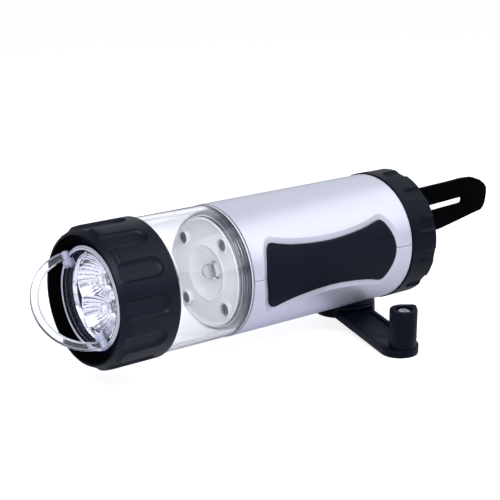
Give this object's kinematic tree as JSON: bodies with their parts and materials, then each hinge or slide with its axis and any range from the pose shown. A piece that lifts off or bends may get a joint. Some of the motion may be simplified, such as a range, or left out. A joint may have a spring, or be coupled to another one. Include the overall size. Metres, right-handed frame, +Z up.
{
  "type": "hand crank flashlight",
  "caption": "Round hand torch with a clear lantern section, a swinging bail, a hang loop and a folding crank that drives a dynamo inside.",
  "frame": {"origin": "under the middle of the whole part, level with the lowest edge of the crank arm's foot", "axes": "+X along the torch towards the tail, +Y to the side away from the crank arm, +Z up, away from the crank"},
  "size_m": [0.2356, 0.0824, 0.0631],
  "materials": {
    "silver_plastic": "satin silver paint on plastic",
    "black_plastic": "semi-gloss black moulded plastic",
    "loop_plastic": "flexible black plastic, satin",
    "grip_rubber": "matte black grip rubber",
    "seal_rubber": "matte black seal rubber",
    "clear_plastic": "polished clear plastic",
    "mirror_plating": "mirror plated plastic",
    "white_plastic": "white moulded plastic",
    "grey_plastic": "grey moulded plastic",
    "nylon": "natural nylon",
    "circuit_board": "green coated board",
    "led_resin": "clear resin with a yellow tint",
    "cell_jacket": "green shrink sleeve over metal",
    "steel": "bright plated steel",
    "brass": "plain brass",
    "copper_wire": "enamelled copper wire"
  },
  "bodies": {
    "torch_body": {"upper_shell": "silver_plastic", "lower_shell": "silver_plastic", "left_grip": "grip_rubber", "right_grip": "grip_rubber", "lantern_tube": "clear_plastic", "coupling_ring": "grey_plastic", "lantern_reflector": "white_plastic", "lantern_screw_1": "steel", "lantern_screw_2": "steel", "lantern_screw_3": "steel", "lantern_screw_4": "steel", "lantern_board": "circuit_board", "lantern_led": "led_resin", "lantern_cone": "mirror_plating", "head_core": "black_plastic", "torch_reflector": "mirror_plating", "torch_led_1": "led_resin", "torch_led_2": "led_resin", "torch_led_3": "led_resin", "torch_led_board": "circuit_board", "lens_seal": "seal_rubber", "crank_bush": "black_plastic", "gearbox_frame": "grey_plastic", "gearbox_cover": "grey_plastic", "idler_pin": "steel", "dynamo_stator": "steel", "stator_coil": "copper_wire", "battery_tray": "black_plastic", "battery_cell_1": "cell_jacket", "battery_cell_2": "cell_jacket", "battery_cell_3": "cell_jacket", "battery_contact_front": "brass", "battery_contact_rear": "brass", "main_board": "circuit_board", "tail_seal": "seal_rubber"},
    "head_ring": {"head_bezel": "black_plastic", "front_lens": "clear_plastic", "twist_contact": "brass", "bail_pin_upper": "steel", "bail_pin_lower": "steel"},
    "bail": {"hanging_bail": "clear_plastic"},
    "crank": {"crank_hub": "black_plastic", "crank_shaft": "steel", "crank_gear": "nylon", "arm_hinge_pin": "steel"},
    "arm": {"crank_arm": "black_plastic", "knob_screw": "steel"},
    "knob": {"crank_knob": "black_plastic"},
    "idler": {"idler_gear": "nylon"},
    "rotor": {"rotor_shaft": "steel", "rotor_pinion": "brass", "dynamo_rotor": "steel"},
    "cap": {"tail_cap": "black_plastic", "loop_pin": "steel"},
    "loop": {"hang_loop": "loop_plastic"}
  },
  "joints": [
    {"name": "head_twist", "type": "hinge", "parent": "torch_body", "child": "head_ring", "pos_m": [-0.08671, 0.01421, 0.03612], "axis": [1, 0, 0], "range_deg": [0, 60]},
    {"name": "bail_swing", "type": "hinge", "parent": "head_ring", "child": "bail", "pos_m": [-0.09826, 0.01421, 0.03612], "axis": [0, 0.6088, 0.7934], "range_deg": [-76, 100]},
    {"name": "crank_turn", "type": "hinge", "parent": "torch_body", "child": "crank", "pos_m": [0.02974, 0.01421, 0.01902], "axis": [0, 0, 1], "range_deg": [-41, 250]},
    {"name": "arm_fold", "type": "hinge", "parent": "crank", "child": "arm", "pos_m": [0.02974, 0.01421, 0.00747], "axis": [0.9563, -0.2924, 0], "range_deg": [0, 174]},
    {"name": "knob_spin", "type": "hinge", "parent": "arm", "child": "knob", "pos_m": [0.01497, -0.0341, 0.00216], "axis": [-0.0306, -0.1, 0.9945], "continuous": true},
    {"name": "idler_turn", "type": "hinge", "parent": "torch_body", "child": "idler", "pos_m": [0.01224, 0.01421, 0.02317], "axis": [0, 0, 1], "range_deg": [-723, 119]},
    {"name": "rotor_turn", "type": "hinge", "parent": "torch_body", "child": "rotor", "pos_m": [-0.00141, 0.01421, 0.02967], "axis": [0, 0, 1], "range_deg": [-395, 2408]},
    {"name": "cap_pull", "type": "slide", "parent": "torch_body", "child": "cap", "axis": [1, 0, 0], "range_m": [0, 0.01]},
    {"name": "loop_swing", "type": "hinge", "parent": "cap", "child": "loop", "pos_m": [0.06214, 0.01421, 0.04172], "axis": [0, 0, 1], "range_deg": [-85, 85]}
  ],
  "couplings": [
    {"joint": "idler_turn", "follows": "crank_turn", "ratio": -2.8889},
    {"joint": "rotor_turn", "follows": "crank_turn", "ratio": 9.6296}
  ]
}
